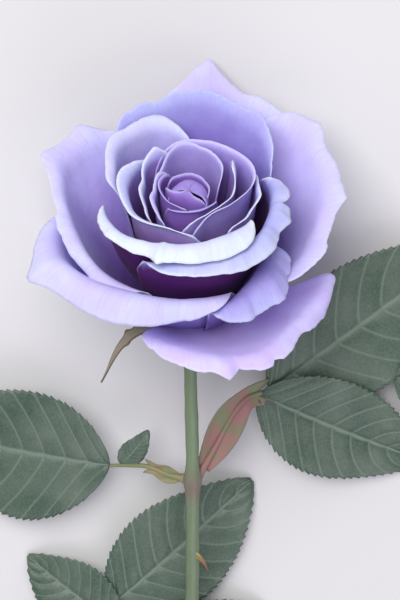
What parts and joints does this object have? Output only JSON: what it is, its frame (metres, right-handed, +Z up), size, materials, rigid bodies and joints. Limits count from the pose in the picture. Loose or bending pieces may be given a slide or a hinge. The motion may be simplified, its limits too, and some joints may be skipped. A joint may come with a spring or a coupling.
{
  "type": "cut rose flower",
  "caption": "Single cut rose with a full lilac bloom, spread sepals, a long straight stem and compound serrated leaves, lying on its back on a flat surface.",
  "frame": {"origin": "centre of the bounding box in plan, at the surface that the rose lies on", "axes": "+Z up from the surface; +Y along the stem from its cut foot towards the bloom, the longest extent; +X to the right of the bloom seen from above with the bloom away from the viewer"},
  "size_m": [0.2304, 0.3182, 0.0844],
  "materials": {
    "petals": "matt, velvety, slightly translucent lilac petal",
    "hip": "smooth waxy green",
    "sepals": "matt brownish green",
    "stem": "smooth waxy green skin",
    "leaf_stalks": "matt green tinged with pink",
    "leaflets": "dull grey-green, slightly waxy on top"
  },
  "bodies": {
    "root": {"hip": "hip", "petal_centre_1": "petals", "petal_centre_2": "petals", "petal_centre_3": "petals", "petal_centre_4": "petals", "petal_centre_5": "petals", "petal_inner_back": "petals", "petal_inner_left": "petals", "petal_inner_right": "petals", "petal_inner_pointed": "petals", "petal_inner_arch": "petals", "petal_inner_front": "petals", "petal_inner_far_right": "petals", "petal_upper_front_lip": "petals", "petal_lower_front_lip": "petals", "petal_left_shoulder": "petals", "petal_back_broad": "petals", "petal_outer_left": "petals", "petal_front_rolled": "petals", "petal_front_hanging": "petals", "petal_outer_right": "petals", "petal_outer_back": "petals", "petal_under_left": "petals", "petal_drooping": "petals", "sepal_1": "sepals", "sepal_2": "sepals", "sepal_3": "sepals", "sepal_4": "sepals", "sepal_5": "sepals", "stem": "stem", "leaf_right_stalk": "leaf_stalks", "leaf_right_end": "leaflets", "leaf_right_side_1": "leaflets", "leaf_right_side_2": "leaflets", "leaf_left_stalk": "leaf_stalks", "leaf_left_end": "leaflets", "leaf_left_side_1": "leaflets", "leaf_lower_stalk": "leaf_stalks", "leaf_lower_end": "leaflets", "leaf_lower_side_1": "leaflets", "leaf_lower_side_2": "leaflets", "leaf_lower_side_3": "leaflets"}
  },
  "joints": []
}
